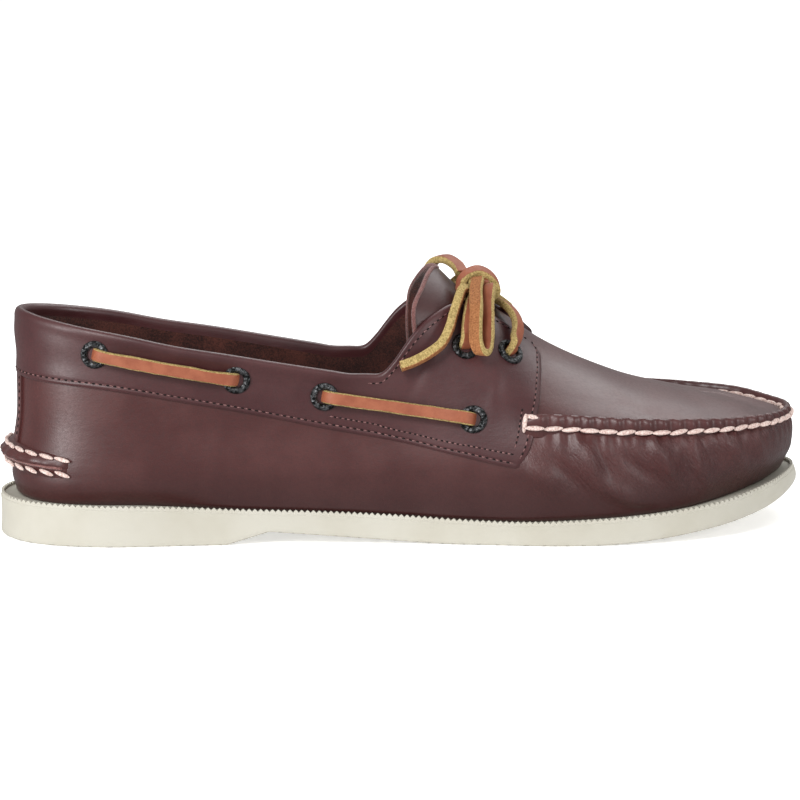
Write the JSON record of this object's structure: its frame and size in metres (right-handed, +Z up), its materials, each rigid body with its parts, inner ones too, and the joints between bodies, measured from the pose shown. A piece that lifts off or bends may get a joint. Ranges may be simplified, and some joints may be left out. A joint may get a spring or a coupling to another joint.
{
  "type": "boat shoe",
  "caption": "Leather moccasin-toe boat shoe for the right foot, with a side lace through metal eyelets, a tied throat lace and a one-piece pale rubber sole.",
  "frame": {"origin": "on the floor under the middle of the shoe's bounding box, the bow left out", "axes": "+X from heel to toe, +Y to the inner side of the foot, +Z up"},
  "size_m": [0.2978, 0.0994, 0.0986],
  "materials": {
    "sole_rubber": "matt off-white moulded rubber",
    "lining_suede": "dark suede",
    "upper_leather": "smooth dark burgundy brown",
    "eyelet_metal": "blackened, with a soft shine",
    "lace_rawhide": "tan rawhide with paler rough edges"
  },
  "bodies": {
    "root": {"outsole": "sole_rubber", "insole": "lining_suede", "upper": "upper_leather", "tongue": "upper_leather", "eyelet_outer_heel_rear": "eyelet_metal", "eyelet_outer_heel_front": "eyelet_metal", "eyelet_outer_waist_rear": "eyelet_metal", "eyelet_outer_waist_front": "eyelet_metal", "eyelet_outer_throat_rear": "eyelet_metal", "eyelet_outer_throat_front": "eyelet_metal", "eyelet_inner_heel_rear": "eyelet_metal", "eyelet_inner_heel_front": "eyelet_metal", "eyelet_inner_waist_rear": "eyelet_metal", "eyelet_inner_waist_front": "eyelet_metal", "eyelet_inner_throat_rear": "eyelet_metal", "eyelet_inner_throat_front": "eyelet_metal", "lace_outer_heel": "lace_rawhide", "lace_outer_waist": "lace_rawhide", "lace_inner_heel": "lace_rawhide", "lace_inner_waist": "lace_rawhide", "lace_throat": "lace_rawhide", "lace_knot": "lace_rawhide", "lace_loop_outer": "lace_rawhide", "lace_loop_inner": "lace_rawhide", "lace_end_outer": "lace_rawhide", "lace_end_inner": "lace_rawhide"}
  },
  "joints": []
}
